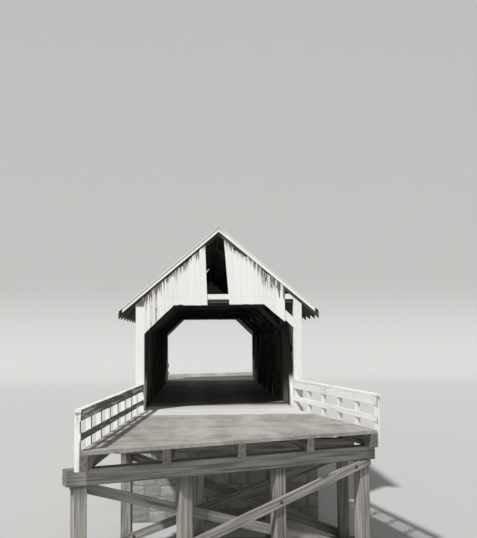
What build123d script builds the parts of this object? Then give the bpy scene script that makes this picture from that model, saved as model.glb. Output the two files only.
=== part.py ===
"""A whitewashed timber covered bridge on two abutments, with a trestle approach and guard rails at each end.

Millimetres. The origin is on the ground below mid-span, +Y runs along the bridge, +Z is up, and the
near end is at -Y. The far end is the near end turned half round, so "left" and "right" at an end are as
seen by someone who walks up to it.
"""

import os
from math import atan2, cos, degrees, hypot, radians, tan

from build123d import *

os.makedirs("parts", exist_ok=True)

# Overall sizes
span = 18000  # from portal face to portal face
deck_z = 3000  # top of the deck above the lowest ground
opening_w = 4310  # clear width between the corner posts
opening_h = 3020  # deck to the bottom of the gable boards
chamfer_w = 837  # cut-off corner of the opening
chamfer_h = 819
corner_w = 240  # side of a corner post

# Floor
plank_t = 75
stringer_h = 200
stringer_w = 100
stringer_count = 7
stringer_margin = 130  # from the outer stringers to the trusses
beam_h = 300
beam_w = 200
beams_per_panel = 2

# Trusses, which stand in line with the corner posts
bottom_chord_h = 360
top_chord_h = 300
plate_bevel = 40  # width planed off the top chord's outer edge, as a seat for the rafters
truss_post_w = 200
brace_w = 200
brace_t = 150
panels = 6

# Ties and knees
tie_w = 150
tie_h = 200
portal_tie_h = 250
knee_w = 140
knee_t = 120
header_h = 150
header_t = 50
header_lap = 140  # how far the gable boards hang past the header board
knee_board_w = 210
knee_board_lap = 90  # how far they hang past the knee boards, square to them

# Roof
roof_pitch = 40.0
eave_overhang = 517  # side walls to the eaves
gable_overhang = 60
shingle_t = 30
shingle_lap = 20  # shingles past the boards at eaves and gables
sheathing_t = 25
rafter_h = 140
rafter_w = 50
rafters_per_panel = 3
ridge_board_t = 40
ridge_board_h = 200
rake_h = 90
rake_t = 25
rake_short = 130  # from the end of a rake board to the eave

# Walls
siding_t = 25
girt_h = 150
girt_t = 45
girt_rows = 4
slot_bottom = (-330, 270)  # edges of the slot in the near gable, at the bottom of the boards
slot_top = (-395, 140)
lost_board_w = 490  # the near gable has lost its boards here, at the right corner post

# Abutments
abutment_margin = 316  # abutments past the corner posts on each side
seat_l = 800
backwall_t = 450

# Approaches
left_set = 45  # how far outside the opening the near approach's left edge starts
left_reach = 8160  # from the portal, along the bridge
left_flare = 576  # how far that edge runs out sideways
right_reach = 5450
right_flare = 1151
approach_stringer_h = 300
approach_stringer_w = 150
approach_stringer_count = 5
mid_bent_bay = 3  # whole bays of guard rail before the middle bent
end_bent_inset = 450
cap_size = 300
cap_past_edge = 150
trestle_post_w = 250
trestle_post_count = 4
sway_w = 200
sway_t = 75

# Guard rails
left_rail_h = 755
right_rail_h = 800
rail_cap_t = 55
rail_cap_lip = 5
rail_board_t = 25
top_rail_h = 155
mid_rail_h = 138
mid_rail_drop = 575  # from the top of the cap to the underside of the mid rail
rail_post_w = 100
left_bays = 8
right_bays = 5
end_post_inset = 90
right_stub = 130  # how far the right rail runs into the portal

# Levels and faces that follow from the sizes above
half_span = span / 2
half_open = opening_w / 2
half_out = half_open + corner_w
wall_in = half_out - siding_t
truss_out = wall_in - girt_t
truss_in = half_open
chord_w = truss_out - truss_in
stringer_z = deck_z - plank_t
beam_z = stringer_z - stringer_h
chord_z = beam_z - beam_h
seat_z = chord_z - bottom_chord_h
chamfer_top = deck_z + opening_h
header_foot = chamfer_top + header_lap
header_z = header_foot + header_h
plate_z = header_z - tie_h
top_chord_z = plate_z - top_chord_h
frame_end = half_span - corner_w
truss_pitch = (2 * frame_end - truss_post_w) / panels
slope = tan(radians(roof_pitch))
plumb = 1 / cos(radians(roof_pitch))
covering_t = shingle_t + sheathing_t
frame_depth = covering_t + rafter_h
ridge_z = plate_z + (truss_out - plate_bevel) * slope + frame_depth * plumb
eave_x = half_out + eave_overhang


def roof_z(x, depth):
    """Height at x of the plane that lies depth below the top of the shingles, measured square to them."""
    return ridge_z - abs(x) * slope - depth * plumb


def roof_x(z, depth):
    """Distance from the mid-plane at which that plane reaches the height z."""
    return (ridge_z - depth * plumb - z) / slope


def keep_below_roof(depth):
    """Cut the open sketch of a cross-section to what lies below that plane."""
    eave_z = roof_z(eave_x, depth)
    gable = ((-eave_x, 0), (eave_x, 0), (eave_x, eave_z), (0, roof_z(0, depth)), (-eave_x, eave_z))
    Polygon(*gable, align=None, mode=Mode.INTERSECT)


def block(x, y, z):
    """A box between two limits on each axis."""
    with Locations(((x[0] + x[1]) / 2, (y[0] + y[1]) / 2, (z[0] + z[1]) / 2)):
        Box(x[1] - x[0], y[1] - y[0], z[1] - z[0])


def point_on(line, share):
    """The point at a share of the way along a line in plan."""
    (x0, y0), (x1, y1) = line
    return (x0 + (x1 - x0) * share, y0 + (y1 - y0) * share)


def bay_point(edge, bays, number):
    """The point on a deck edge a number of guard rail bays out from the portal."""
    length = hypot(edge[1][0] - edge[0][0], edge[1][1] - edge[0][1])
    return Vector(*point_on(edge, number * (length - end_post_inset) / bays / length))


near_face = Plane.XZ  # outward normal -Y, drawn as seen from the near approach
far_face = Plane(origin=(0, 0, 0), x_dir=(-1, 0, 0), z_dir=(0, 1, 0))
end_faces = (near_face, far_face)
end_plans = (Plane.XY, Plane.XY.rotated((0, 0, 180)))
sides = (("left", -1), ("right", 1))

# Abutments: a block with a seat for the chords, and a backwall that carries the approach
abutment_w = 2 * (half_out + abutment_margin)
backwall_z = deck_z - plank_t - approach_stringer_h
for name, turn in (("near", 1), ("far", -1)):
    with BuildPart() as abutment:
        with BuildSketch(Plane.YZ.offset(-abutment_w / 2)):
            with BuildLine():
                Polyline(
                    (-turn * (half_span + backwall_t), 0),
                    (-turn * (half_span + backwall_t), backwall_z),
                    (-turn * half_span, backwall_z),
                    (-turn * half_span, seat_z),
                    (-turn * (half_span - seat_l), seat_z),
                    (-turn * (half_span - seat_l), 0),
                    close=True,
                )
            make_face()
        extrude(amount=abutment_w)
    abutment.part.label = f"{name}_abutment"
    export_step(abutment.part, f"parts/{name}_abutment.step")

# Truss posts stand at the ends and between the panels
post_ys = [-frame_end + truss_post_w / 2 + i * truss_pitch for i in range(panels + 1)]
panel_clear = truss_pitch - truss_post_w
truss_clear_h = top_chord_z - chord_z

for side, sign in sides:
    inner, outer = sorted((sign * truss_in, sign * truss_out))
    with BuildPart() as bottom_chord:
        block((inner, outer), (-half_span, half_span), (seat_z, chord_z))
    bottom_chord.part.label = f"{side}_bottom_chord"
    export_step(bottom_chord.part, f"parts/{side}_bottom_chord.step")

    # The top chord's outer edge is planed to the roof's slope
    with BuildPart() as top_chord:
        with BuildSketch(Plane.XZ.offset(-frame_end)):
            with Locations((sign * (truss_in + truss_out) / 2, (top_chord_z + plate_z) / 2)):
                Rectangle(chord_w, top_chord_h)
            keep_below_roof(frame_depth)
        extrude(amount=2 * frame_end)
    top_chord.part.label = f"{side}_top_chord"
    export_step(top_chord.part, f"parts/{side}_top_chord.step")

    with BuildPart() as truss_posts:
        for y in post_ys:
            half = truss_post_w / 2
            block((inner, outer), (y - half, y + half), (chord_z, top_chord_z))
    truss_posts.part.label = f"{side}_truss_posts"
    export_step(truss_posts.part, f"parts/{side}_truss_posts.step")

    # One brace in each panel, from the foot of the outer post to the head of the inner one
    with BuildPart() as truss_braces:
        for i in range(panels):
            lean = 1 if i < panels / 2 else -1
            centre = Vector((inner + outer - brace_t) / 2, (post_ys[i] + post_ys[i + 1]) / 2, 0)
            with BuildSketch(Plane(origin=centre, x_dir=(0, 1, 0), z_dir=(1, 0, 0))):
                with Locations((0, (chord_z + top_chord_z) / 2)):
                    Rectangle(panel_clear, truss_clear_h)
                    angle = lean * degrees(atan2(truss_clear_h, panel_clear))
                    length = 2 * hypot(panel_clear, truss_clear_h)
                    Rectangle(length, brace_w, rotation=angle, mode=Mode.INTERSECT)
            extrude(amount=brace_t)
    truss_braces.part.label = f"{side}_truss_braces"
    export_step(truss_braces.part, f"parts/{side}_truss_braces.step")

# Floor: beams on the bottom chords between the truss posts, and one between the corner posts at each end
beam_pitch = truss_pitch / beams_per_panel
with BuildPart() as floor_beams:
    for i in range(panels * beams_per_panel):
        y = post_ys[0] + (i + 0.5) * beam_pitch
        block((-truss_out, truss_out), (y - beam_w / 2, y + beam_w / 2), (chord_z, beam_z))
    for end in (-1, 1):
        limits = sorted((end * frame_end, end * half_span))
        block((-half_open, half_open), limits, (chord_z, beam_z))
floor_beams.part.label = "floor_beams"
export_step(floor_beams.part, "parts/floor_beams.step")

stringer_pitch = (2 * (truss_in - stringer_margin) - stringer_w) / (stringer_count - 1)
with BuildPart() as stringers:
    for i in range(stringer_count):
        x = (i - (stringer_count - 1) / 2) * stringer_pitch
        block(
            (x - stringer_w / 2, x + stringer_w / 2),
            (-half_span, half_span),
            (beam_z, stringer_z),
        )
stringers.part.label = "stringers"
export_step(stringers.part, "parts/stringers.step")

with BuildPart() as deck:
    block((-truss_in, truss_in), (-frame_end, frame_end), (stringer_z, deck_z))
deck.part.label = "deck"
export_step(deck.part, "parts/deck.step")

with BuildPart() as threshold_planks:
    for end in (-1, 1):
        limits = sorted((end * frame_end, end * half_span))
        block((-half_open, half_open), limits, (stringer_z, deck_z))
threshold_planks.part.label = "threshold_planks"
export_step(threshold_planks.part, "parts/threshold_planks.step")

# Corner posts stand on the bottom chords and are cut to the underside of the rafters
with BuildPart() as corner_posts:
    for face in end_faces:
        for side, sign in sides:
            with BuildSketch(face.offset(half_span)):
                with BuildLine():
                    Polyline(
                        (sign * half_open, chord_z),
                        (sign * half_out, chord_z),
                        (sign * half_out, roof_z(half_out, frame_depth)),
                        (sign * half_open, roof_z(half_open, frame_depth)),
                        close=True,
                    )
                make_face()
            extrude(amount=-corner_w)
corner_posts.part.label = "corner_posts"
export_step(corner_posts.part, "parts/corner_posts.step")

# Tie beams on the top chords at the inner truss posts, and a deeper one between the corner posts
tie_half = roof_x(header_z, covering_t)
with BuildPart() as tie_beams:
    for y in post_ys[1:-1]:
        block((-tie_half, tie_half), (y - tie_w / 2, y + tie_w / 2), (plate_z, header_z))
tie_beams.part.label = "tie_beams"
export_step(tie_beams.part, "parts/tie_beams.step")

with BuildPart() as portal_ties:
    for end in (-1, 1):
        limits = sorted((end * frame_end, end * (half_span - header_t)))
        block((-half_open, half_open), limits, (header_z - portal_tie_h, header_z))
portal_ties.part.label = "portal_ties"
export_step(portal_ties.part, "parts/portal_ties.step")

# The header board lies flat on each portal tie, cut to the end rafters and corner posts
with BuildPart() as header_boards:
    for face in end_faces:
        with BuildSketch(face.offset(half_span)):
            with Locations((0, header_foot + header_h / 2)):
                Rectangle(opening_w, header_h)
            keep_below_roof(frame_depth)
        extrude(amount=-header_t)
header_boards.part.label = "header_boards"
export_step(header_boards.part, "parts/header_boards.step")

# Knee boards behind the cut-off corners of the opening, between header and corner post
chamfer_len = hypot(chamfer_w, chamfer_h)
fall = chamfer_h / chamfer_w
chamfer_x = half_open - chamfer_w


def knee_x(offset):
    """Where a line parallel to the cut-off corner, and offset above it, meets the top of a knee board."""
    return chamfer_x + (chamfer_top + offset * chamfer_len / chamfer_w - header_foot) / fall


def knee_z(offset):
    """Where that line meets the corner post."""
    return chamfer_top - chamfer_h + offset * chamfer_len / chamfer_w


knee_low = knee_board_lap
knee_high = knee_board_lap + knee_board_w
with BuildPart() as knee_boards:
    for face in end_faces:
        for side, sign in sides:
            with BuildSketch(face.offset(half_span)):
                with BuildLine():
                    Polyline(
                        (sign * knee_x(knee_low), header_foot),
                        (sign * half_open, knee_z(knee_low)),
                        (sign * half_open, knee_z(knee_high)),
                        (sign * knee_x(knee_high), header_foot),
                        close=True,
                    )
                make_face()
            extrude(amount=-header_t)
knee_boards.part.label = "knee_boards"
export_step(knee_boards.part, "parts/knee_boards.step")

# Knee braces under the inner tie beams, from the truss posts, just above the line of the opening
knee_head = chamfer_x - (plate_z - chamfer_top) / fall
foot_z = plate_z - (truss_in - knee_head) * fall
with BuildPart() as knee_braces:
    for y in post_ys[1:-1]:
        for side, sign in sides:
            with BuildSketch(Plane.XZ.offset(-y - knee_t / 2)):
                with BuildLine():
                    Polyline(
                        (sign * knee_head, plate_z),
                        (sign * truss_in, foot_z),
                        (sign * truss_in, foot_z + knee_w * chamfer_len / chamfer_w),
                        (sign * (knee_head + knee_w * chamfer_len / chamfer_h), plate_z),
                        close=True,
                    )
                make_face()
            extrude(amount=knee_t)
knee_braces.part.label = "knee_braces"
export_step(knee_braces.part, "parts/knee_braces.step")

# Rafters in pairs along each truss panel, with one pair on each gable
rafter_pitch = truss_pitch / rafters_per_panel
rafter_ys = [post_ys[0] + (i + 0.5) * rafter_pitch for i in range(panels * rafters_per_panel)]
gable_rafter_y = half_span - rafter_w / 2
rafter_tail = eave_x - shingle_lap
with BuildPart() as rafters:
    for y in [-gable_rafter_y, *rafter_ys, gable_rafter_y]:
        for side, sign in sides:
            with BuildSketch(Plane.XZ.offset(-y - rafter_w / 2)):
                with BuildLine():
                    head = ridge_board_t / 2
                    Polyline(
                        (sign * head, roof_z(head, covering_t)),
                        (sign * rafter_tail, roof_z(rafter_tail, covering_t)),
                        (sign * rafter_tail, roof_z(rafter_tail, frame_depth)),
                        (sign * head, roof_z(head, frame_depth)),
                        close=True,
                    )
                make_face()
            extrude(amount=rafter_w)
rafters.part.label = "rafters"
export_step(rafters.part, "parts/rafters.step")

roof_end = half_span + gable_overhang
ridge_top = roof_z(ridge_board_t / 2, covering_t)
with BuildPart() as ridge_board:
    block(
        (-ridge_board_t / 2, ridge_board_t / 2),
        (-roof_end + rake_t, roof_end - rake_t),
        (ridge_top - ridge_board_h, ridge_top),
    )
ridge_board.part.label = "ridge_board"
export_step(ridge_board.part, "parts/ridge_board.step")

# Roof boards, shingles and rake boards on each slope
for side, sign in sides:
    with BuildPart() as sheathing:
        with BuildSketch(Plane.XZ.offset(-roof_end + rake_t)):
            with BuildLine():
                Polyline(
                    (0, roof_z(0, shingle_t)),
                    (sign * rafter_tail, roof_z(rafter_tail, shingle_t)),
                    (sign * rafter_tail, roof_z(rafter_tail, covering_t)),
                    (0, roof_z(0, covering_t)),
                    close=True,
                )
            make_face()
        extrude(amount=2 * (roof_end - rake_t))
    sheathing.part.label = f"{side}_roof_boards"
    export_step(sheathing.part, f"parts/{side}_roof_boards.step")

    with BuildPart() as shingles:
        with BuildSketch(Plane.XZ.offset(-roof_end - shingle_lap)):
            with BuildLine():
                Polyline(
                    (0, roof_z(0, 0)),
                    (sign * eave_x, roof_z(eave_x, 0)),
                    (sign * eave_x, roof_z(eave_x, shingle_t)),
                    (0, roof_z(0, shingle_t)),
                    close=True,
                )
            make_face()
        extrude(amount=2 * (roof_end + shingle_lap))
    shingles.part.label = f"{side}_shingles"
    export_step(shingles.part, f"parts/{side}_shingles.step")

    rake_end = sign * (eave_x - rake_short)
    with BuildPart() as rake_boards:
        for face, turn in zip(end_faces, (1, -1)):
            with BuildSketch(face.offset(roof_end)):
                with BuildLine():
                    Polyline(
                        (0, roof_z(0, shingle_t)),
                        (turn * rake_end, roof_z(rake_end, shingle_t)),
                        (turn * rake_end, roof_z(rake_end, shingle_t + rake_h)),
                        (0, roof_z(0, shingle_t + rake_h)),
                        close=True,
                    )
                make_face()
            extrude(amount=-rake_t)
    rake_boards.part.label = f"{side}_rake_boards"
    export_step(rake_boards.part, f"parts/{side}_rake_boards.step")

# Side walls: rows of girts from bottom chord to top chord, and upright boards on the girts
wall_top = roof_z(half_out, frame_depth)
low_girt = seat_z + (bottom_chord_h - girt_h) / 2
girt_rise = (top_chord_z - low_girt) / (girt_rows - 1)
for side, sign in sides:
    with BuildPart() as girts:
        for i in range(girt_rows):
            limits = sorted((sign * truss_out, sign * wall_in))
            foot = low_girt + i * girt_rise
            block(limits, (-frame_end, frame_end), (foot, foot + girt_h))
    girts.part.label = f"{side}_girts"
    export_step(girts.part, f"parts/{side}_girts.step")

    with BuildPart() as siding:
        limits = sorted((sign * wall_in, sign * half_out))
        block(limits, (-frame_end, frame_end), (seat_z, wall_top))
    siding.part.label = f"{side}_siding"
    export_step(siding.part, f"parts/{side}_siding.step")

# Gables: upright boards on both sides of the slot, or, where there is none, round the ridge board.
# Short ones hang over the cut-off corners.
for name, face in zip(("near", "far"), end_faces):
    for i, (side, sign) in enumerate(sides):
        low, high = (slot_bottom[i], slot_top[i]) if name == "near" else (0, 0)
        edge = half_out - lost_board_w if (name, side) == ("near", "right") else half_out
        with BuildPart() as gable:
            with BuildSketch(face.offset(half_span)):
                with BuildLine():
                    Polyline(
                        (low, chamfer_top),
                        (sign * edge, chamfer_top),
                        (sign * edge, roof_z(edge, covering_t)),
                        (high, roof_z(high, covering_t)),
                        close=True,
                    )
                make_face()
                with Locations((0, ridge_top)):
                    Rectangle(ridge_board_t, 2 * ridge_board_h, mode=Mode.SUBTRACT)
            extrude(amount=siding_t)
        gable.part.label = f"{name}_gable_{side}"
        export_step(gable.part, f"parts/{name}_gable_{side}.step")

with BuildPart() as gable_haunches:
    for name, face in zip(("near", "far"), end_faces):
        for side, sign in sides:
            edge = half_out - lost_board_w if (name, side) == ("near", "right") else half_open
            with BuildSketch(face.offset(half_span)):
                with BuildLine():
                    Polyline(
                        (sign * chamfer_x, chamfer_top),
                        (sign * edge, chamfer_top),
                        (sign * edge, chamfer_top - (edge - chamfer_x) * fall),
                        close=True,
                    )
                make_face()
            extrude(amount=siding_t)
gable_haunches.part.label = "gable_haunches"
export_step(gable_haunches.part, "parts/gable_haunches.step")

# Approach decks on stringers that fan out with the deck's edges, which are lines in plan at the near end
left_start = -half_open - left_set
left_edge = ((left_start, -half_span), (left_start - left_flare, -half_span - left_reach))
right_edge = ((half_open, -half_span), (half_open + right_flare, -half_span - right_reach))
with BuildPart() as approach_decks:
    for plan in end_plans:
        with BuildSketch(plan.offset(stringer_z)):
            with BuildLine():
                Polyline(left_edge[0], right_edge[0], right_edge[1], left_edge[1], close=True)
            make_face()
        extrude(amount=plank_t)
approach_decks.part.label = "approach_decks"
export_step(approach_decks.part, "parts/approach_decks.step")


def end_y(x):
    """Where the skew end of the near approach lies at x."""
    return point_on((left_edge[1], right_edge[1]), (x - left_edge[1][0]) / end_w)[1]


end_w = right_edge[1][0] - left_edge[1][0]
portal_w = right_edge[0][0] - left_edge[0][0]
with BuildPart() as approach_stringers:
    for plan in end_plans:
        for i in range(approach_stringer_count):
            share = i / (approach_stringer_count - 1)
            x0 = left_edge[0][0] + (portal_w - approach_stringer_w) * share
            x1 = left_edge[1][0] + (end_w - approach_stringer_w) * share
            with BuildSketch(plan.offset(backwall_z)):
                with BuildLine():
                    Polyline(
                        (x0, -half_span),
                        (x0 + approach_stringer_w, -half_span),
                        (x1 + approach_stringer_w, end_y(x1 + approach_stringer_w)),
                        (x1, end_y(x1)),
                        close=True,
                    )
                make_face()
            extrude(amount=approach_stringer_h)
approach_stringers.part.label = "approach_stringers"
export_step(approach_stringers.part, "parts/approach_stringers.step")

# Each approach stands on two framed bents: one at mid-bay of both guard rails, one along the skew end
cap_z = backwall_z - cap_size
end_line = Vector(*right_edge[1]) - Vector(*left_edge[1])
inset = Vector(-end_line.Y, end_line.X).normalized() * end_bent_inset
mid_bent = mid_bent_bay + 0.5
bent_lines = (
    (bay_point(left_edge, left_bays, mid_bent), bay_point(right_edge, right_bays, mid_bent)),
    (Vector(*left_edge[1]) + inset, Vector(*right_edge[1]) + inset),
)
bents = []
for turn in (1, -1):
    for left, right in bent_lines:
        along = (right - left).normalized()
        plane = Plane(origin=left * turn, x_dir=along * turn, z_dir=Vector(along.Y, -along.X) * turn)
        bents.append((plane, (right - left).length))

post_inset = trestle_post_w / 2
trestle_clear = cap_z - cap_size

with BuildPart() as trestle_caps:
    for plane, width in bents:
        with BuildSketch(plane.offset(-cap_size / 2)):
            with Locations((width / 2, cap_z + cap_size / 2)):
                Rectangle(width + 2 * cap_past_edge, cap_size)
        extrude(amount=cap_size)
trestle_caps.part.label = "trestle_caps"
export_step(trestle_caps.part, "parts/trestle_caps.step")

with BuildPart() as trestle_sills:
    for plane, width in bents:
        with BuildSketch(plane.offset(-cap_size / 2)):
            with Locations((width / 2, cap_size / 2)):
                Rectangle(width + 2 * cap_past_edge, cap_size)
        extrude(amount=cap_size)
trestle_sills.part.label = "trestle_sills"
export_step(trestle_sills.part, "parts/trestle_sills.step")

with BuildPart() as trestle_posts:
    for plane, width in bents:
        with BuildSketch(plane.offset(-trestle_post_w / 2)):
            for i in range(trestle_post_count):
                x = post_inset + (width - 2 * post_inset) * i / (trestle_post_count - 1)
                with Locations((x, cap_size + trestle_clear / 2)):
                    Rectangle(trestle_post_w, trestle_clear)
        extrude(amount=trestle_post_w)
trestle_posts.part.label = "trestle_posts"
export_step(trestle_posts.part, "parts/trestle_posts.step")

# Sway braces cross on the two faces of each bent
with BuildPart() as trestle_braces:
    for plane, width in bents:
        for lean in (1, -1):
            with BuildSketch(plane.offset(lean * trestle_post_w / 2)):
                with Locations((width / 2, cap_size + trestle_clear / 2)):
                    Rectangle(width, trestle_clear)
                    angle = lean * degrees(atan2(trestle_clear, width))
                    Rectangle(2 * width, sway_w, rotation=angle, mode=Mode.INTERSECT)
            extrude(amount=lean * sway_t)
trestle_braces.part.label = "trestle_braces"
export_step(trestle_braces.part, "parts/trestle_braces.step")

# Guard rails follow the deck edges. On each plane x runs out from the portal and y up from the deck,
# and out is the sign that takes the normal away from the road.
rails = []
for turn in (1, -1):
    for edge, bays, height, out in (
        (left_edge, left_bays, left_rail_h, 1),
        (right_edge, right_bays, right_rail_h, -1),
    ):
        start, end = Vector(*edge[0]), Vector(*edge[1])
        along = (end - start).normalized() * turn
        origin = start * turn + Vector(0, 0, deck_z)
        plane = Plane(origin=origin, x_dir=along, z_dir=Vector(along.Y, -along.X))
        length = (end - start).length
        bay = (length - end_post_inset) / bays
        stations = [bay * (i + 1) for i in range(bays)]
        flare = abs(along.X / along.Y)
        rails.append((plane, length, stations, height, out, flare))


def strip(plane, out, x, y, depth):
    """A straight timber between limits along the rail, up from the deck and away from the road."""
    with BuildSketch(plane.offset(out * depth[0])) as end_face:
        with Locations(((x[0] + x[1]) / 2, (y[0] + y[1]) / 2)):
            Rectangle(x[1] - x[0], y[1] - y[0])
    extrude(end_face.sketch, amount=out * (depth[1] - depth[0]))


post_foot = -plank_t - approach_stringer_h
with BuildPart() as rail_posts:
    for plane, length, stations, height, out, flare in rails:
        for x in stations:
            half = rail_post_w / 2
            strip(plane, out, (x - half, x + half), (post_foot, height - rail_cap_t), (0, rail_post_w))
rail_posts.part.label = "rail_posts"
export_step(rail_posts.part, "parts/rail_posts.step")

with BuildPart() as top_rails:
    for plane, length, stations, height, out, flare in rails:
        start = 0 if out > 0 else -right_stub
        top = height - rail_cap_t
        strip(plane, out, (start, length), (top - top_rail_h, top), (-rail_board_t, 0))
top_rails.part.label = "top_rails"
export_step(top_rails.part, "parts/top_rails.step")

with BuildPart() as mid_rails:
    for plane, length, stations, height, out, flare in rails:
        start = 0 if out > 0 else -right_stub
        foot = height - mid_rail_drop
        strip(plane, out, (start, length), (foot, foot + mid_rail_h), (-rail_board_t, 0))
mid_rails.part.label = "mid_rails"
export_step(mid_rails.part, "parts/mid_rails.step")

with BuildPart() as rail_caps:
    for plane, length, stations, height, out, flare in rails:
        outer = rail_post_w + rail_cap_lip
        strip(
            plane,
            out,
            (outer * flare, length + rail_cap_lip),
            (height - rail_cap_t, height),
            (-rail_board_t - rail_cap_lip, outer),
        )
rail_caps.part.label = "rail_caps"
export_step(rail_caps.part, "parts/rail_caps.step")
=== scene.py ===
# %% [markdown]
# # A whitewashed covered bridge
# This bridge is a timber shed over a road: two trusses stand on stone abutments, a floor hangs between
# them, a roof keeps the rain off them, and upright boards close the sides and the gables. The frame that
# the script loads already holds every timber as a plain solid at its real size. What it lacks is what
# makes old wood look like wood: separate boards, worn edges, gaps, grain that follows each piece, split
# shingles and coursed stone. Each section below adds one of these, and hides the plain solid that the
# new piece stands for.

import math

import bmesh
import bpy
import numpy as np
from mathutils import Matrix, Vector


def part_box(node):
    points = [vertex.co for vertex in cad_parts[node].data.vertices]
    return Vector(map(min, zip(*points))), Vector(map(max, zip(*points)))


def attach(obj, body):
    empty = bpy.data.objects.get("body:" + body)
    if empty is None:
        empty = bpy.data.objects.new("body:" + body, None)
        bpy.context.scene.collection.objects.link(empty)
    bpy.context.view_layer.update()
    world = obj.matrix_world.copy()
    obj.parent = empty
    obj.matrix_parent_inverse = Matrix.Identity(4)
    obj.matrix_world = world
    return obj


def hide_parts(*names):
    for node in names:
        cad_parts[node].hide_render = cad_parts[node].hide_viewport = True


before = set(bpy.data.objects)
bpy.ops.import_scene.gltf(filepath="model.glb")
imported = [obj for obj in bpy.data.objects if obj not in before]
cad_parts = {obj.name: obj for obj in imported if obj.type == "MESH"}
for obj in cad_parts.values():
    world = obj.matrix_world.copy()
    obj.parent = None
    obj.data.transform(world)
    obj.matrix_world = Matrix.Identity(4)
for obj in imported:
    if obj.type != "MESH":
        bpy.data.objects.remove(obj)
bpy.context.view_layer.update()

# %% [markdown]
# ## Sizes
# Every new board has to land on the timber that carries it, so the sizes are read from the solids and
# not typed again. A solid's lowest and highest corners give the levels of the deck, the lintel and the
# walls, and the corners of a roof slab give the slope of the roof.

# %% Read levels and widths from the solids
half_out, half_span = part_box("corner_posts")[1].xy
half_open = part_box("header_boards")[1].x
deck_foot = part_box("deck")[0].z
truss_in, deck_half, deck_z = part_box("deck")[1]
lintel_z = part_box("near_gable_left")[0].z
ridge_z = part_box("left_shingles")[1].z
eave_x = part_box("right_shingles")[1].x
wall_low, wall_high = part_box("right_siding")


def merged_copy(node):
    """A copy of a solid's mesh, with its loose triangles merged into whole flat faces."""
    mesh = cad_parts[node].data.copy()
    edit = bmesh.new()
    edit.from_mesh(mesh)
    bmesh.ops.remove_doubles(edit, verts=edit.verts, dist=1e-4)
    bmesh.ops.dissolve_limit(edit, angle_limit=0.01, verts=edit.verts, edges=edit.edges)
    edit.to_mesh(mesh)
    edit.free()
    return mesh


def points_of(mesh):
    """The mesh's corners as rows of x, y, z."""
    points = np.empty(len(mesh.vertices) * 3)
    mesh.vertices.foreach_get("co", points)
    return points.reshape(-1, 3)


slab = points_of(merged_copy("right_shingles"))
eave_z = slab[slab[:, 0] > eave_x - 1e-3, 2].max()
slope = (ridge_z - eave_z) / eave_x
pitch = math.atan(slope)
print("deck at", round(deck_z, 3), "and lintel at", round(lintel_z, 3))
print("roof pitch", round(math.degrees(pitch), 1))


def roof_z(x, depth):
    """Height of the plane that lies depth below the top of the shingles, square to the slope."""
    return ridge_z - np.abs(x) * slope - depth / math.cos(pitch)


# %% [markdown]
# ## Wood and its grain
# Grain runs along a board, whichever way the board lies. So each piece carries its own measure in two
# point attributes: grain is the distance along, across and into the board, shifted by a random amount
# so that no two boards look alike, and ends is the distance to its two ends with a random tone.
# A material that reads them draws streaks along every rafter, brace and plank without any unwrapping.

# %% Helpers that make shader nodes
def is_output(value):
    """Whether a value is another node's output. Such an output knows its tree, as its id_data."""
    return isinstance(value, bpy.types.NodeSocket)


def add(tree, kind, inputs=None, **settings):
    """Adds a shader node. Each input is a plain value, or another node's output that is linked to it."""
    node = tree.nodes.new(kind)
    for key, value in settings.items():
        setattr(node, key, value)
    for key, value in (inputs or {}).items():
        if is_output(value):
            tree.links.new(value, node.inputs[key])
        else:
            node.inputs[key].default_value = value
    return node


def split(vector):
    """A vector's three parts."""
    return add(vector.id_data, "ShaderNodeSeparateXYZ", {0: vector}).outputs


def maths(operation, *values, clamp=False):
    """One arithmetic step on numbers or outputs."""
    tree = next(value.id_data for value in values if is_output(value))
    inputs = dict(enumerate(values))
    return add(tree, "ShaderNodeMath", inputs, operation=operation, use_clamp=clamp).outputs[0]


def ramp(value, low, high):
    """0 where the value is low, 1 where it is high, and a smooth step between. low may exceed high."""
    inputs = {"Value": value, "From Min": low, "From Max": high}
    return add(value.id_data, "ShaderNodeMapRange", inputs, interpolation_type="SMOOTHSTEP").outputs[0]


def blend(share, first, second):
    """Mixes two colours by a share from 0 to 1. A plain colour is its red, green and blue."""
    first, second = (colour if is_output(colour) else (*colour, 1) for colour in (first, second))
    inputs = {0: share, 6: first, 7: second}
    return add(share.id_data, "ShaderNodeMix", inputs, data_type="RGBA").outputs[2]


def noise(vector, scale, detail, rough=0.55):
    """Soft random spots whose size along each axis of the vector is one over the scale."""
    tree = vector.id_data
    stretched = add(tree, "ShaderNodeMapping", {"Vector": vector, "Scale": scale})
    inputs = {"Vector": stretched.outputs[0], "Scale": 1.0, "Detail": detail, "Roughness": rough}
    return add(tree, "ShaderNodeTexNoise", inputs).outputs[0]


def new_material(name, roughness):
    """An empty rough material with its shader, and the grain, ends and place of the piece."""
    material = bpy.data.materials.new(name)
    material.use_nodes = True
    tree = material.node_tree
    shader = tree.nodes["Principled BSDF"]
    shader.inputs["Roughness"].default_value = roughness
    shader.inputs["Specular IOR Level"].default_value = 0.25
    grain = add(tree, "ShaderNodeAttribute", attribute_name="grain").outputs["Vector"]
    ends = add(tree, "ShaderNodeAttribute", attribute_name="ends").outputs["Vector"]
    place = add(tree, "ShaderNodeTexCoord").outputs["Object"]
    return material, shader, grain, split(ends), place


def paint(shader, colour, height, depth):
    """Gives the shader its colour, and a bump of the given depth in metres."""
    tree = shader.id_data
    tree.links.new(colour, shader.inputs["Base Color"])
    bump = add(tree, "ShaderNodeBump", {"Height": height, "Strength": 1.0, "Distance": depth})
    tree.links.new(bump.outputs[0], shader.inputs["Normal"])


# %% [markdown]
# Bare timber is one recipe with different colours: long streaks of light and dark, a tone of its own for
# each piece, dark checks that run with the grain, and ends that have drunk more weather than the middle.

# %% Make the bare woods
old_lime = (0.80, 0.79, 0.765)


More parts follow.
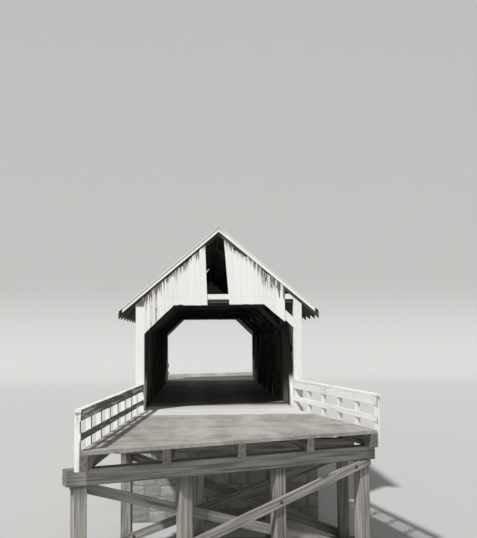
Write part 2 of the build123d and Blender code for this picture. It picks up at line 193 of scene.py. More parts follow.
def bare_wood(name, dark, light, jamb=0.0):
    """Weathered wood between a dark and a light colour, with checks along the grain. jamb is how much pale
    lime it shows low down beside the road, for about one and a half metres behind a portal: whitewash that
    stops at a painted shadow line, so the jamb above stays dark as painted shade."""
    material, shader, grain, ends, place = new_material(name, 0.88)
    streaks = noise(grain, (0.9, 22.0, 22.0), 4.0)
    fine = noise(grain, (2.5, 110.0, 110.0), 3.0)
    checks = ramp(noise(grain, (0.5, 34.0, 34.0), 2.0), 0.40, 0.33)
    tone = maths("MULTIPLY_ADD", ends[2], 0.55, -0.28)
    mix = maths("ADD", ramp(streaks, 0.3, 0.7), tone, clamp=True)
    colour = blend(mix, dark, light)
    nearest = maths("MINIMUM", ends[0], ends[1])
    soaked = maths("MULTIPLY", ramp(nearest, 0.35, 0.0), fine)
    worn = maths("MAXIMUM", maths("MULTIPLY", checks, 0.5), soaked)
    colour = blend(worn, colour, [v * 0.35 for v in dark])
    # Painted light on the jambs: pale lime low down that ends at a painted shadow line about a metre above
    # the deck, with painted shade above it.
    if jamb > 0:
        _, y, z = split(place)
        near = ramp(maths("ABSOLUTE", y), half_span - 1.6, half_span - 1.2)
        low = maths("MULTIPLY", ramp(z, deck_z + 1.15, deck_z + 0.75), near)
        lime_and_light = maths("MULTIPLY", ramp(streaks, 0.78, 0.6), maths("MULTIPLY", low, jamb))
        colour = blend(lime_and_light, colour, old_lime)
    height = maths("ADD", streaks, maths("MULTIPLY", fine, 0.5))
    paint(shader, colour, maths("SUBTRACT", height, checks), 0.004)
    return material


inside_tones = ((0.055, 0.050, 0.045), (0.15, 0.14, 0.125))
inside_wood = bare_wood("inside_wood", *inside_tones)
jamb_wood = bare_wood("jamb_wood", *inside_tones, jamb=0.9)
weathered_wood = bare_wood("weathered_wood", (0.16, 0.15, 0.135), (0.40, 0.385, 0.35))
print("bare woods:", inside_wood.name, jamb_wood.name, weathered_wood.name)

# %% [markdown]
# Whitewash is lime brushed on sawn boards. It flakes where water runs: from the top ends of the gable
# boards, from the foot of a post and along the grain. So one mask decides where the bare wood shows. It
# adds long streaks, small flakes and a wear that grows towards the ends of each board. On the
# photographed gable the left haunch is worn most, so there the mask grows with the place as well. On the
# left rail the faces that look at the road are bared to dark wood too: that is painted shade, with some
# wear.

# %% Make the whitewash
fresh_lime, thin_lime = (0.87, 0.865, 0.85), (0.58, 0.565, 0.535)
bare_dark, bare_light = (0.07, 0.064, 0.056), (0.26, 0.247, 0.222)


def whitewash(name, wear=0.0, top_wear=0.0, foot_wear=0.0, haunch_wear=0.0, right_runs=0.0,
              road_shade_and_wear=0.0):
    """Lime over wood. wear bares it all over, top_wear and foot_wear from the ends of the boards,
    haunch_wear over the left haunch, and right_runs makes the streaks that much longer on the right.
    road_shade_and_wear bares the faces that look at the road on the left rail, as seen when driving in, to
    dark wood: painted shade, with some wear."""
    material, shader, grain, ends, place = new_material(name, 0.85)
    streaks = noise(grain, (0.7, 16.0, 16.0), 3.0)
    flakes = noise(grain, (5.0, 26.0, 26.0), 5.0, 0.65)
    fine = noise(grain, (3.0, 120.0, 120.0), 2.0)
    x, y, _ = split(place)
    mask = maths("MULTIPLY_ADD", streaks, 0.62, maths("MULTIPLY", flakes, 0.38))
    runs = noise(grain, (1.2, 27.0, 27.0), 2.0)
    run_length = maths("MULTIPLY_ADD", runs, 0.95, -0.27)
    run_length = maths("MULTIPLY_ADD", ramp(x, 0.8, 1.3), right_runs, run_length)
    run = ramp(maths("SUBTRACT", run_length, ends[1]), -0.10, 0.2)
    top = maths("MULTIPLY", run, top_wear)
    foot = maths("MULTIPLY", ramp(ends[0], 0.45, 0.0), foot_wear)
    haunch = maths("MULTIPLY", ramp(x, -1.2, -2.1), haunch_wear)
    mask = maths("ADD", maths("ADD", mask, maths("ADD", top, foot)), haunch)
    mask = maths("ADD", mask, wear)
    # Painted shade: on the left rail the faces that look at the road are bared to dark wood, standing in for
    # shade, with some wear.
    if road_shade_and_wear > 0:
        normal = add(shader.id_data, "ShaderNodeNewGeometry").outputs["True Normal"]
        inward = ramp(maths("MULTIPLY", split(normal)[0], x), -1.0, -1.8)
        left = ramp(maths("MULTIPLY", x, y), 0.0, 5.0)
        mask = maths("MULTIPLY_ADD", maths("MULTIPLY", inward, left), road_shade_and_wear, mask)
    bare = ramp(mask, 0.66, 0.74)
    thin = ramp(mask, 0.50, 0.68)
    lime = blend(ends[2], old_lime, fresh_lime)
    lime = blend(maths("MULTIPLY", thin, 0.6), lime, thin_lime)
    wood = blend(ramp(fine, 0.3, 0.7), bare_dark, bare_light)
    height = maths("ADD", maths("MULTIPLY", fine, 0.4), maths("SUBTRACT", streaks, bare))
    paint(shader, blend(bare, lime, wood), height, 0.003)
    return material


white_gable = whitewash("white_gable", wear=-0.045, top_wear=0.27, haunch_wear=0.19, right_runs=0.22)
white_boards = whitewash("white_boards", wear=-0.03, top_wear=0.22)
white_timber = whitewash("white_timber", wear=-0.02, top_wear=0.06, foot_wear=0.12)
white_siding = whitewash("white_siding", wear=0.02, top_wear=0.10, foot_wear=0.22)
white_rails = whitewash("white_rails", wear=0.005, top_wear=0.10, foot_wear=0.10, road_shade_and_wear=0.24)
whites = (white_gable, white_boards, white_timber, white_siding, white_rails)
print("whitewash:", [material.name for material in whites])

# %% [markdown]
# The deck is wood that wheels have polished and dust has filled. Two dusty tracks run along it, and at each
# portal a pale band of painted sunlight with dust reaches in and out, so their paleness is taken from the
# place on the bridge, not from the board. The threshold boards are coloured pale as painted sunlight too.

# %% Make the deck planks
# Painted sunlight: the pale colour of the band at each portal, laid on as dust.
sunlit_dust_colour = (0.72, 0.705, 0.67)
wheel_x = 0.72  # from the middle of the road to a wheel track
sunlit_dust_out = 2.0  # how far the painted sunlight and dust reach out from a portal


def road_planks(name, dark, light, dust, rough=0.92):
    """Planks with a pale dusty track on each side of the middle, and at each portal a pale band of painted
    sunlight with dust.
    """
    material, shader, grain, ends, place = new_material(name, rough)
    streaks = noise(grain, (1.2, 24.0, 24.0), 4.0)
    fine = noise(grain, (4.0, 90.0, 90.0), 3.0)
    tone = maths("MULTIPLY_ADD", ends[2], 0.5, -0.25)
    mix = maths("ADD", ramp(streaks, 0.3, 0.7), tone, clamp=True)
    colour = blend(mix, dark, light)
    x, y, _ = split(place)
    off_track = maths("ABSOLUTE", maths("SUBTRACT", maths("ABSOLUTE", x), wheel_x))
    track = ramp(off_track, 0.55, 0.05)
    clouds = noise(place, (1.7, 0.8, 1.7), 7.0, 0.62)
    dusty = ramp(maths("MULTIPLY_ADD", track, 0.16, clouds), 0.34, 0.84)
    colour = blend(maths("MULTIPLY", dusty, 0.85), colour, dust)
    y = maths("ABSOLUTE", y)
    # Painted sunlight: a pale band from about 1.2 m inside each portal to about two metres out, laid on as
    # dust.
    ragged = maths("MULTIPLY_ADD", clouds, 1.3, maths("SUBTRACT", y, half_span + sunlit_dust_out))
    outside = ramp(ragged, 0.12, -0.12)
    sunlit_dust = maths("MULTIPLY", outside, ramp(y, half_span - 1.9, half_span - 1.2))
    sunlit_dust = maths("MULTIPLY", sunlit_dust, maths("MULTIPLY_ADD", fine, 0.3, 0.7), clamp=True)
    height = maths("ADD", streaks, maths("MULTIPLY", fine, 0.5))
    paint(shader, blend(sunlit_dust, colour, sunlit_dust_colour), height, 0.005)
    return material


deck_wood = road_planks("deck_wood", (0.10, 0.093, 0.083), (0.24, 0.225, 0.20), (0.34, 0.325, 0.295), 0.7)
approach_wood = road_planks("approach_wood", (0.20, 0.19, 0.17), (0.38, 0.36, 0.325), (0.50, 0.48, 0.44))
# Painted sunlight: the threshold boards at the portals are coloured pale for the sun that falls there, with
# dust.
sunlit_threshold_wood = road_planks("sunlit_threshold_wood", (0.46, 0.44, 0.40), (0.68, 0.66, 0.62), (0.72, 0.70, 0.66))
print("planks:", deck_wood.name, approach_wood.name, sunlit_threshold_wood.name)

# %% [markdown]
# ## Boards
# A wall is a row of boards, and a board is a flat prism. Its outline on the wall may have slanted sides
# and slanted ends, because boards are cut to a roof or to the corner of an opening. Its cross-section is
# a ring of eight points, a rectangle with its four edges taken off, so that every edge catches light.
# All the boards of a wall are worked out at once, as one array of board, station and ring point.

# %% Work out boards on a face
def share_out(rng, start, stop, width, spread=0.22):
    """Edges of boards of uneven width that fill the way from start to stop."""
    count = max(1, round(abs(stop - start) / width))
    widths = 1 + spread * rng.uniform(-1, 1, count)
    return start + (stop - start) * np.concatenate(([0], np.cumsum(widths) / widths.sum()))


def pairs(values, count):
    """One value for all boards, or one or two for each, as an array of board by foot and head."""
    values = np.asarray(values, float)
    if values.ndim < 2:
        values = values[..., None]
    return np.broadcast_to(values, (count, 2))


def boards(rng, face, left, right, low, high, depth, edge=0.003, stations=2, bow=0.0):
    """Boards on a face, which is its origin and its directions across, up and out.

    At share t of its length a board's sides lie at left(t) and right(t), and across it the foot runs from
    low[0] to low[1] and the head from high[0] to high[1]. A ring of points round its section goes from
    foot to head, at depth[0] and depth[1] out from the face, and the board bows out by a random share of
    bow as half a sine wave. Returns points, faces, grain and ends."""
    origin, across, up, out = (np.asarray(v, float) for v in face)
    count = len(low)
    left, right, low, high, inner, outer = (pairs(v, count) for v in (left, right, low, high, *depth))
    t = np.linspace(0, 1, stations)[None, :, None]
    s0, s1, d0, d1 = (v[:, None, :1] * (1 - t) + v[:, None, 1:] * t for v in (left, right, inner, outer))
    if edge > 0:
        ring = ((s0 + edge, d0), (s1 - edge, d0), (s1, d0 + edge), (s1, d1 - edge),
                (s1 - edge, d1), (s0 + edge, d1), (s0, d1 - edge), (s0, d0 + edge))
    else:
        ring = ((s0, d0), (s1, d0), (s1, d1), (s0, d1))
    a = np.concatenate([p[0] for p in ring], 2)
    d = np.concatenate([p[1] for p in ring], 2)
    share = (a - s0) / np.maximum(s1 - s0, 1e-6)
    foot = low[:, None, :1] * (1 - share) + low[:, None, 1:] * share
    head = high[:, None, :1] * (1 - share) + high[:, None, 1:] * share
    h = foot + t * (head - foot)
    d = d + bow * rng.uniform(0, 1, (count, 1, 1)) * np.sin(math.pi * t)
    points = origin + a[..., None] * across + h[..., None] * up + d[..., None] * out
    index = np.arange(a.size).reshape(a.shape)
    after = np.roll(index, -1, 2)
    sides = np.stack((index[:, :-1], index[:, 1:], after[:, 1:], after[:, :-1]), -1).reshape(-1, 4)
    caps = np.concatenate((index[:, 0], index[:, -1, ::-1]))
    if np.linalg.det((across, up, out)) < 0:
        sides, caps = sides[:, ::-1], caps[:, ::-1]
    shift = rng.uniform(0, 40, (count, 1, 1, 3))
    grain = np.stack((h, a - s0, d), -1) + shift
    tone = np.broadcast_to(rng.uniform(0, 1, (count, 1, 1)), h.shape)
    ends = np.stack((h - foot, head - h, tone), -1)
    return points.reshape(-1, 3), [sides, caps], grain.reshape(-1, 3), ends.reshape(-1, 3)


def joined(patches):
    """Several patches of points, faces, grain and ends as one."""
    starts = np.cumsum([0] + [len(patch[0]) for patch in patches])
    faces = [part + start for patch, start in zip(patches, starts) for part in patch[1]]
    points, grain, ends = (np.concatenate([patch[i] for patch in patches]) for i in (0, 2, 3))
    return points, faces, grain, ends


def add_piece(name, mesh, material, replaces):
    """Puts a mesh into the scene at the origin, lets it ride on the bridge and hides what it stands for."""
    mesh.materials.clear()
    mesh.materials.append(material)
    piece = bpy.data.objects.new(name, mesh)
    bpy.context.scene.collection.objects.link(piece)
    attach(piece, "root")
    if replaces:
        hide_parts(*replaces)
    return piece


def set_grain(mesh, grain, ends):
    """Writes the two point attributes that the woods read."""
    for key, values in (("grain", grain), ("ends", ends)):
        layer = mesh.attributes.new(key, "FLOAT_VECTOR", "POINT")
        layer.data.foreach_set("vector", values.astype(np.float32).ravel())


def make_piece(name, patches, material, replaces=()):
    """Makes one piece of several patches."""
    points, faces, grain, ends = joined(patches)
    mesh = bpy.data.meshes.new(name)
    mesh.from_pydata(points.tolist(), [], [face for part in faces for face in part.tolist()])
    set_grain(mesh, grain, ends)
    triangles = sum(len(part) * (part.shape[1] - 2) for part in faces)
    print(name, "has", len(points), "points and", triangles, "triangles")
    add_piece(name, mesh, material, replaces)


# %% [markdown]
# ## Heavy timbers
# Posts, chords, braces, rafters and beams keep their solid's shape: the only thing that they need is a
# worn edge and grain. Each timber's grain follows its longest edge, which also holds for the sloping
# ones, and a Bevel modifier takes a few millimetres off the edges, as an adze and a century do.

# %% Dress the solid timbers
def islands(count, edges):
    """Which timber each corner belongs to: neighbours share their lowest number until nothing changes."""
    label = np.arange(count)
    while True:
        lowest = label.copy()
        np.minimum.at(lowest, edges[:, 0], label[edges[:, 1]])
        np.minimum.at(lowest, edges[:, 1], label[edges[:, 0]])
        if (lowest == label).all():
            return label
        label = lowest


def timber_axes(points, edges):
    """A timber's directions along, across and through: its longest edge, the longest one square to it, and
    their cross product."""
    spans = points[edges[:, 1]] - points[edges[:, 0]]
    lengths = np.linalg.norm(spans, axis=1)
    along = spans[lengths.argmax()] / lengths.max()
    square = spans - np.outer(spans @ along, along)
    across = square[np.linalg.norm(square, axis=1).argmax()]
    across = across / np.linalg.norm(across)
    return np.array((along, across, np.cross(along, across)))


def timber_parts(node):
    """A solid's mesh and corners and, for each timber, its own corners, its axes and its limits on them."""
    mesh = merged_copy(node)
    points = points_of(mesh)
    edges = np.empty(len(mesh.edges) * 2, int)
    mesh.edges.foreach_get("vertices", edges)
    edges = edges.reshape(-1, 2)
    label = islands(len(points), edges)
    parts = []
    for timber in np.unique(label):
        mine = label == timber
        axes = timber_axes(points, edges[mine[edges[:, 0]]])
        measure = points[mine] @ axes.T
        parts.append((mine, axes, measure.min(0), measure.max(0)))
    return mesh, points, parts


def timbers(nodes, material, wear, seed):
    """Dresses each node: worn edges, and grain and ends measured along every timber in it."""
    rng = np.random.default_rng(seed)
    for node in nodes:
        mesh, points, parts = timber_parts(node)
        grain, ends = np.empty_like(points), np.empty_like(points)
        for mine, axes, low, high in parts:
            measure = points[mine] @ axes.T
            grain[mine] = measure - low + rng.uniform(0, 40, 3)
            tone = np.full(mine.sum(), rng.uniform())
            ends[mine] = np.column_stack((measure[:, 0] - low[0], high[0] - measure[:, 0], tone))
        set_grain(mesh, grain, ends)
        piece = add_piece(node + "_timber", mesh, material, [node])
        bevel = piece.modifiers.new("worn edges", "BEVEL")
        bevel.width = wear
        bevel.segments = 2
        bevel.limit_method = "ANGLE"
        print(piece.name, "has", len(parts), "timbers")


sides = (("left", -1), ("right", 1))
chords = [f"{side}_{part}" for side, _ in sides for part in ("bottom_chord", "top_chord")]
jambs = [f"{side}_{part}" for side, _ in sides for part in ("truss_posts", "truss_braces", "girts")]
timbers(chords, inside_wood, 0.010, 11)
timbers(jambs, jamb_wood, 0.010, 16)
timbers(("floor_beams", "stringers", "tie_beams", "portal_ties", "knee_braces", "rafters", "ridge_board"),
        inside_wood, 0.007, 12)
timbers(("approach_stringers", "trestle_caps", "trestle_sills", "trestle_posts", "trestle_braces"),
        weathered_wood, 0.010, 13)
timbers(("corner_posts", "header_boards", "knee_boards", "left_rake_boards", "right_rake_boards"),
        white_timber, 0.006, 14)
timbers(("rail_posts",), white_rails, 0.006, 15)

# %% [markdown]
# ## Guard rails
# A rail's cap, top board and mid board are one long solid each, but no board is that long: they are
# lengths of about two and a half metres that meet end to end, none quite true. On the photographed right
# side the rail is lower the further it is from the portal, so its boards and the tops of its posts are
# lifted by a straight line over that distance.

# %% Nail up the guard rails
portal_rise = 0.050  # how far the right rail stands above its solid at the portal
rail_fall = 0.0115  # how much of that it loses with each metre
top_deeper = 0.045  # how much deeper its top board is
mid_lower = 0.035  # how much lower its mid board is


def right_rise(x, y, lower=0.0):
    """How far the right rail, as seen when driving in, stands above its solid: portal_rise, less rail_fall
    for each metre out and less by lower. The left rail, where x times y is positive, has no rise."""
    out = np.abs(y) - half_span
    return np.where(x * y < 0, portal_rise - rail_fall * out - lower, 0.0)


def raise_post_tops(piece):
    """Lets the right rail's posts reach up to their cap."""
    points = points_of(piece.data)
    tops = points[:, 2] > deck_z + 0.5
    points[tops, 2] += right_rise(points[tops, 0], points[tops, 1])
    piece.data.vertices.foreach_set("co", points.ravel())


def rail_lengths(node, seed, deeper, lower, length=2.6, slack=0.003, gap=0.002):
    """Replaces each long board of a rail by lengths of board. On the right rail they rise and fall with
    right_rise, and reach lower than the solid by deeper."""
    rng = np.random.default_rng(seed)
    patches = []
    for _, axes, low, high in timber_parts(node)[2]:
        face = (np.zeros(3), axes[1], axes[0], axes[2])
        cuts = share_out(rng, low[0], high[0], length, 0.1)
        count = len(cuts) - 1
        middle = (low + high) / 2
        x, y, _ = (middle @ axes + (cuts[:, None] - middle[0]) * axes[0]).T
        if x[0] * y[0] < 0:
            low[1] -= deeper * (axes[1][2] > 0)
            high[1] += deeper * (axes[1][2] < 0)
        rise = right_rise(x, y, lower)
        rise = np.stack((rise[:-1], rise[1:]), 1)
        shift = rng.uniform(-0.004, 0.004, (count, 2)) + rise * axes[1][2]
        inner = low[2] + rng.uniform(0, slack, (count, 1)) + rise * axes[2][2]
        outer = high[2] - rng.uniform(0, slack, (count, 1)) + rise * axes[2][2]
        patches.append(boards(rng, face, low[1] + shift, high[1] + shift, cuts[:-1] + gap, cuts[1:] - gap,
                              (inner, outer), 0.005, 5, 0.003))
    make_piece(node + "_lengths", patches, white_rails, [node])


raise_post_tops(bpy.data.objects["rail_posts_timber"])
rail_rows = (("rail_caps", 0.0, 0.0), ("top_rails", top_deeper, 0.0), ("mid_rails", 0.0, mid_lower))
for seed, (node, deeper, lower) in enumerate(rail_rows, 60):
    rail_lengths(node, seed, deeper, lower)

# %% [markdown]
# ## Side walls
# The side walls are upright boards, nailed to girts outside the trusses. They are sawn to no fixed width,
# and each has shrunk a little, so a thin line of daylight shows between them from inside.

# %% Nail up the side walls
def between(edges, gap):
    """The two sides of each board between neighbouring edges, with a gap at both."""
    return edges[:-1] + gap, edges[1:] - gap


siding_t = wall_high.x - wall_low.x
wall_faces = {
    "left": ((-wall_low.x, 0, 0), (0, -1, 0), (0, 0, 1), (-1, 0, 0)),
    "right": ((wall_low.x, 0, 0), (0, 1, 0), (0, 0, 1), (1, 0, 0)),
}
for seed, (side, _) in enumerate(sides, 20):
    rng = np.random.default_rng(seed)
    edges = share_out(rng, wall_low.y, wall_high.y, 0.235)
    count = len(edges) - 1
    left, right = between(edges, rng.uniform(0.001, 0.007, count))
    low = wall_low.z + rng.uniform(0, 0.02, count)
    wall = boards(rng, wall_faces[side], left, right, low, wall_high.z, (0, siding_t), 0.003, 5, 0.006)
    make_piece(f"{side}_wall_boards", [wall], white_siding, [f"{side}_siding"])

# %% [markdown]
# ## Gables
# The gable is the face of the bridge, so its boards follow the real ones: a slot that leans, tops that
# stop short of the roof, feet cut off along the corner of the opening, and a gap where boards are lost.
# The head of each board is the roof's underside less a drop, and its foot is the lintel, or the sloping
# line of the cut-off corner, so both come from a function of the distance from the middle.

# %% Board the two gables
sheathing = 0.055  # from the top of the shingles down to the underside of the roof boards
gable_t = -half_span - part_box("near_gable_left")[0].y
nail_level = sum(corner.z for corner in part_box("header_boards")) / 2
haunches = points_of(merged_copy("gable_haunches"))
chamfer_x = np.abs(haunches[:, 0]).min()
haunch_low = haunches[:, 2].min()
fall = (lintel_z - haunch_low) / (half_open - chamfer_x)
right_corner, right_fall = 1.292, 0.833  # the photographed right haunch is a little flatter than the left
end_faces = {
    "near": ((0, -half_span, 0), (1, 0, 0), (0, 0, 1), (0, -1, 0)),
    "far": ((0, half_span, 0), (-1, 0, 0), (0, 0, 1), (0, 1, 0)),
}


def gable_foot(x, flat_right):
    """The lower line of the gable: level over the opening, and falling over its cut-off corners."""
    steep = np.clip(np.abs(x) - chamfer_x, 0, None) * fall
    flat = np.clip(x - right_corner, 0, None) * right_fall
    return lintel_z - np.where((x > 0) & flat_right, flat, steep)


def gable_boards(rng, end, edges, lean, drop, ragged):
    """Boards between neighbouring edges, of which the heads stand off sideways by lean.

    A head lies below the roof boards by about drop, with some corners split off lower, and a foot below the
    line of the opening by up to ragged. Returns the boards, and the two nails in each at the header."""
    tops = edges + lean
    count = len(edges) - 1
    left, right = between(np.stack((edges, tops), 1), 0.0006)
    outside = np.abs(edges[:-1] + edges[1:])[:, None] > 2 * half_open
    foot = np.stack([gable_foot(x, end == "near") for x in (edges[:-1], edges[1:])], 1)
    foot = np.where(outside, lintel_z, foot) - rng.uniform(0, ragged, (count, 1))
    short = drop + rng.uniform(-0.02, 0.02, (count, 1)) + 0.10 * rng.uniform(0, 1, (count, 2)) ** 4
    under_roof = roof_z(tops, sheathing)
    head = np.stack((under_roof[:-1], under_roof[1:]), 1) - np.clip(short, 0.004, None)
    rows = boards(rng, end_faces[end], left, right, foot, head, (0.0, gable_t), 0.0010, 4, 0.002)
    share = rng.uniform(0.2, 0.3, (count, 1))
    share = np.hstack((share, 1 - share))
    nail_x = left[:, :1] * (1 - share) + right[:, :1] * share
    nail_z = nail_level + rng.uniform(-0.02, 0.02, (count, 2))
    origin, across, up, out = (np.asarray(v, float) for v in end_faces[end])
    nails = origin + nail_x[..., None] * across + nail_z[..., None] * up + gable_t * out
    return rows, nails.reshape(-1, 3)


slot_low, slot_high = (-0.338, 0.296), (-0.395, 0.148)  # its left and right edge, at the foot and the head
lean_reach = 0.6  # no board further than this from the slot leans
left_width, right_width, far_width = 0.17, 0.18, 0.19  # of the boards, about
# A piece has split off beside the slot. Each of its sides is given at its foot and at its head.
splinter_left, splinter_right = (-0.405, -0.281), (-0.362, -0.268)
splinter_low, splinter_high = 6.935, 7.050
near_right_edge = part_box("near_gable_right")[1].x
rng = np.random.default_rng(31)


def lean_from(edges, i):
    """How far the heads of the boards lean with the slot's edge i: fully beside it, and less further off."""
    return (slot_high[i] - slot_low[i]) * np.clip(1 - np.abs(edges - slot_low[i]) / lean_reach, 0, 1)


left_edges = np.concatenate(([-half_out], share_out(rng, -half_open, -chamfer_x, left_width),
                             share_out(rng, -chamfer_x, slot_low[0], left_width)[1:]))
right_edges = np.concatenate((share_out(rng, slot_low[1], right_corner, right_width),
                              share_out(rng, right_corner, near_right_edge, right_width)[1:]))
near_left, near_left_nails = gable_boards(rng, "near", left_edges, lean_from(left_edges, 0), 0.14, 0.035)
drop = np.where(right_edges[:-1, None] < 0.7, 0.17, 0.06)  # the boards beside the slot stop lower
near_right, near_right_nails = gable_boards(rng, "near", right_edges, lean_from(right_edges, 1), drop, 0.01)
splinter = boards(rng, end_faces["near"], [splinter_left], [splinter_right], [splinter_low],
                  [splinter_high], (0.012, 0.034), 0.0)
make_piece("near_gable_boards", [near_left, near_right, splinter], white_gable,
           ["near_gable_left", "near_gable_right", "gable_haunches"])
far_edges = np.concatenate(([-half_out], share_out(rng, -half_open, -chamfer_x, far_width),
                            share_out(rng, -chamfer_x, chamfer_x, far_width)[1:-1],
                            share_out(rng, chamfer_x, half_open, far_width), [half_out]))
far, far_nails = gable_boards(rng, "far", far_edges, 0.0, 0.06, 0.01)
make_piece("far_gable_boards", [far], white_boards,
           ["far_gable_left", "far_gable_right"])

# %% [markdown]
# ## Roof
# Roof boards lie along the rafters' slope, and courses of split shingles cover them. A shingle is a thin
# wedge. Its butt lies on the course below and its head under the course above, so a course is a row of
# boards in the plane of the slope that are thick at the foot and thin at the head. Seen from the road, the
# gable edge of the roof is white too: whoever limed the rake boards went over the ends of the shingles.

# %% Make the shingle wood
roof_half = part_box("left_shingles")[1].y


def shingle_wood():
    """Split shingles: grey wood with a tone of its own on each, a dark line at the butt, clouds of dirt,
    and lime on the last few millimetres at the gables."""
    material, shader, grain, ends, place = new_material("shingle_wood", 0.95)
    streaks = noise(grain, (3.0, 60.0, 60.0), 4.0)
    clouds = noise(place, (0.5, 0.35, 0.5), 4.0)
    mix = maths("MULTIPLY_ADD", ends[2], 0.55, maths("MULTIPLY", streaks, 0.5), clamp=True)
    colour = blend(mix, (0.10, 0.097, 0.088), (0.38, 0.37, 0.345))
    colour = blend(ramp(clouds, 0.45, 0.75), colour, (0.13, 0.13, 0.11))
    butt = ramp(ends[0], 0.03, 0.0)
    colour = blend(maths("MULTIPLY", butt, 0.45), colour, (0.06, 0.055, 0.05))
    edge = ramp(maths("ABSOLUTE", split(place)[1]), roof_half - 0.012, roof_half - 0.004)
    colour = blend(edge, colour, (0.82, 0.81, 0.785))
    paint(shader, colour, streaks, 0.003)
    return material


shingles_grey = shingle_wood()
print("shingles:", shingles_grey.name)

# %% Lay roof boards, shingles, verges and the ridge saddle
shingle_t = 0.030
sin_p, cos_p = math.sin(pitch), math.cos(pitch)
slope_faces = {
    "left": ((0, 0, ridge_z), (0, 1, 0), (cos_p, 0, sin_p), (-sin_p, 0, cos_p)),
    "right": ((0, 0, ridge_z), (0, -1, 0), (-cos_p, 0, sin_p), (sin_p, 0, cos_p)),
}
eave_v = eave_x / cos_p  # from the ridge to the eave, down the slope
sheet_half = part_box("left_roof_boards")[1].y
sheet_end = (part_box("right_roof_boards")[1].x + shingle_t * sin_p) / cos_p
exposure, shingle_length = 0.14, 0.30
butt_foot, butt_top, thin_head = 0.013, 0.0265, 0.004  # of a shingle, above the roof boards
verge_out = 0.002  # verges past the ends of the shingles


def roof_sheets(rng, face):
    """Rows of roof boards down the slope, each with joints of its own."""
    rows = share_out(rng, sheathing * slope, sheet_end, 0.26, 0.1)
    for top, bottom in zip(rows[:-1], rows[1:]):
        joints = share_out(rng, -sheet_half, sheet_half, 4.2)
        low = np.full(len(joints) - 1, -bottom + 0.004)
        yield boards(rng, face, *between(joints, 0.002), low, -top - 0.004,
                     (-sheathing, -shingle_t - 0.0005), 0.002)


def shingle_courses(rng, face):
    """Courses of shingles from the eave up, whose butts stand at uneven heights and lift unevenly."""
    for butt in np.arange(eave_v, exposure * 0.5, -exposure):
        edges = share_out(rng, -roof_half, roof_half, 0.125, 0.35)
        count = len(edges) - 1
        low = np.maximum(-butt + rng.uniform(-0.006, 0.006, count), -eave_v)
        high = np.minimum(low + shingle_length, -0.004)
        lift = rng.uniform(-0.0025, 0.0025, count)
        inner = np.stack((np.full(count, butt_foot - shingle_t), np.full(count, -shingle_t)), 1)
        outer = np.stack((butt_top - shingle_t + lift, np.full(count, thin_head - shingle_t)), 1)
        yield boards(rng, face, *between(edges, 0.0015), low, high, (inner, outer), 0.0)


def verge_strips(rng, face):
    """The white edge of the roof at both gables, in lengths from the ridge to the eave."""
    for start in (-roof_half - verge_out, sheet_half):
        cuts = share_out(rng, 0.004, eave_v, 1.9)
        stop = start + roof_half - sheet_half + verge_out
        yield boards(rng, face, start, stop, -cuts[1:] + 0.001, -cuts[:-1] - 0.001,
                     (-shingle_t + 0.0005, -0.007), 0.0015)


for seed, (side, _) in enumerate(sides, 40):
    rng = np.random.default_rng(seed)
    face = slope_faces[side]
    make_piece(f"{side}_roof_sheets", list(roof_sheets(rng, face)), inside_wood,
               [f"{side}_roof_boards"])
    make_piece(f"{side}_shingle_courses", list(shingle_courses(rng, face)), shingles_grey,
               [f"{side}_shingles"])
    cuts = share_out(rng, -roof_half, roof_half, 3.1)
    make_piece(f"{side}_verge_strips", list(verge_strips(rng, face)), white_timber)
    low = np.full(len(cuts) - 1, -0.135)
    saddle = boards(rng, face, *between(cuts, 0.002), low, -0.006, (0.008, 0.030), 0.003)
    make_piece(f"{side}_ridge_saddle", [saddle], shingles_grey)

# %% [markdown]
# ## Deck
# Planks lie across the road. Inside the bridge they run from truss to truss, and on the approaches they
# are cut to the flaring edges and to the skew end, so a plank's two ends are functions of its place.

# %% Lay the planks
def deck_face(turn):
    """The deck's top as a face: across runs out of the near portal, or where turn is -1 of the far one, and
    up runs over the road."""
    return ((0, 0, deck_z), (0, -turn, 0), (turn, 0, 0), (0, 0, 1))


plank_t, plank_width = deck_z - deck_foot, 0.25
rng = np.random.default_rng(50)
edges = share_out(rng, -deck_half, deck_half, plank_width)
count = len(edges) - 1
trim = rng.uniform(0, 0.02, (2, count))
top = -rng.uniform(0, 0.004, count)
inside = boards(rng, deck_face(1), *between(edges, 0.003), -truss_in + trim[0], truss_in - trim[1],
                (-plank_t, top), 0.004)
make_piece("deck_boards", [inside], deck_wood, ["deck"])

corners = points_of(merged_copy("approach_decks"))
near = corners[(corners[:, 1] < 0) & (corners[:, 2] > deck_z - 1e-3)]
near = near[np.argsort(near[:, 1])]
left_end, right_end = near[0], near[1]  # the left side reaches further out
left_start, right_start = near[2:][np.argsort(near[2:, 0])]


def on_line(start, end, y):
    """Where the line in plan from start to end reaches y."""
    return start[0] + (end[0] - start[0]) * (y - start[1]) / (end[1] - start[1])


approach, threshold = [], []
for turn in (1, -1):
    edges = share_out(rng, half_span, -left_end[1], plank_width)
    ys = np.stack((-edges[:-1], -edges[1:]), 1)
    low = on_line(left_start, left_end, ys)
    high = np.minimum(on_line(right_start, right_end, ys), on_line(left_end, right_end, ys))
    high = np.maximum(high, low + 0.01)
    top = -rng.uniform(0, 0.005, len(low))
    approach.append(boards(rng, deck_face(turn), *between(edges, 0.003), low, high, (-plank_t, top), 0.004))
    edges = np.array((deck_half, half_span))
    threshold.append(boards(rng, deck_face(turn), *between(edges, 0.002), [-half_open], [half_open],
                            (-plank_t, 0.0), 0.006))
make_piece("approach_planks", approach, approach_wood, ["approach_decks"])
make_piece("threshold_boards", threshold, sunlit_threshold_wood, ["threshold_planks"])

